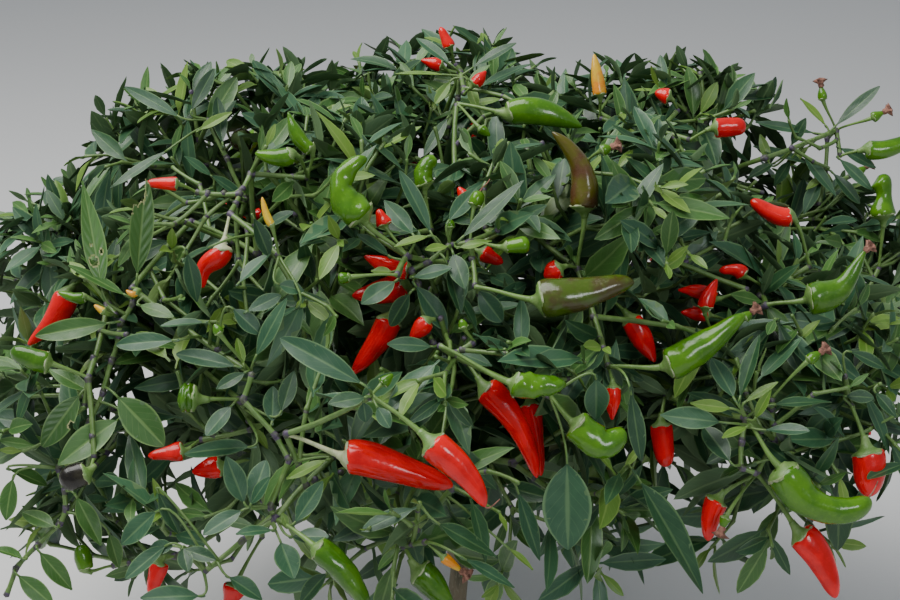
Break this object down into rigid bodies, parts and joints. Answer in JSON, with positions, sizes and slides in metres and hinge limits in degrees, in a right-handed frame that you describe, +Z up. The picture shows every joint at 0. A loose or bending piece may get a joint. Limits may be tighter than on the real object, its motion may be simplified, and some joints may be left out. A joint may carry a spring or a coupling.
{
  "type": "chilli pepper plant",
  "caption": "Rooted bushy chilli pepper plant: a short woody stem forks into boughs under a broad low crown of narrow dark leaves with red, green and dark chillies.",
  "frame": {"origin": "middle of the flat cut under the stem, at ground level", "axes": "+Z up along the stem, -Y towards the camera of the picture, +X to its right"},
  "size_m": [0.498, 0.4606, 0.3345],
  "materials": {
    "bark": "rough grey-green bark",
    "young_bark": "smooth green bark",
    "foliage": "satin leaf",
    "chilli": "glossy waxed skin"
  },
  "bodies": {
    "root": {"stem": "bark", "bough_1": "bark", "bough_2": "bark", "bough_3": "bark", "branch_1": "young_bark", "branch_2": "young_bark", "branch_3": "young_bark", "branch_4": "young_bark", "branch_5": "young_bark", "branch_6": "young_bark", "limb_1": "young_bark", "limb_2": "young_bark", "limb_3": "young_bark", "limb_4": "young_bark", "limb_5": "young_bark", "limb_6": "young_bark", "limb_7": "young_bark", "limb_8": "young_bark", "limb_9": "young_bark", "limb_10": "young_bark", "limb_11": "young_bark", "limb_12": "young_bark", "leader": "young_bark", "foliage_lower_1": "foliage", "foliage_lower_2": "foliage", "foliage_lower_3": "foliage", "foliage_lower_4": "foliage", "foliage_lower_5": "foliage", "foliage_lower_6": "foliage", "foliage_lower_7": "foliage", "foliage_upper_1": "foliage", "foliage_upper_2": "foliage", "foliage_upper_3": "foliage", "foliage_upper_4": "foliage", "foliage_upper_5": "foliage", "foliage_top": "foliage"}
  },
  "joints": []
}
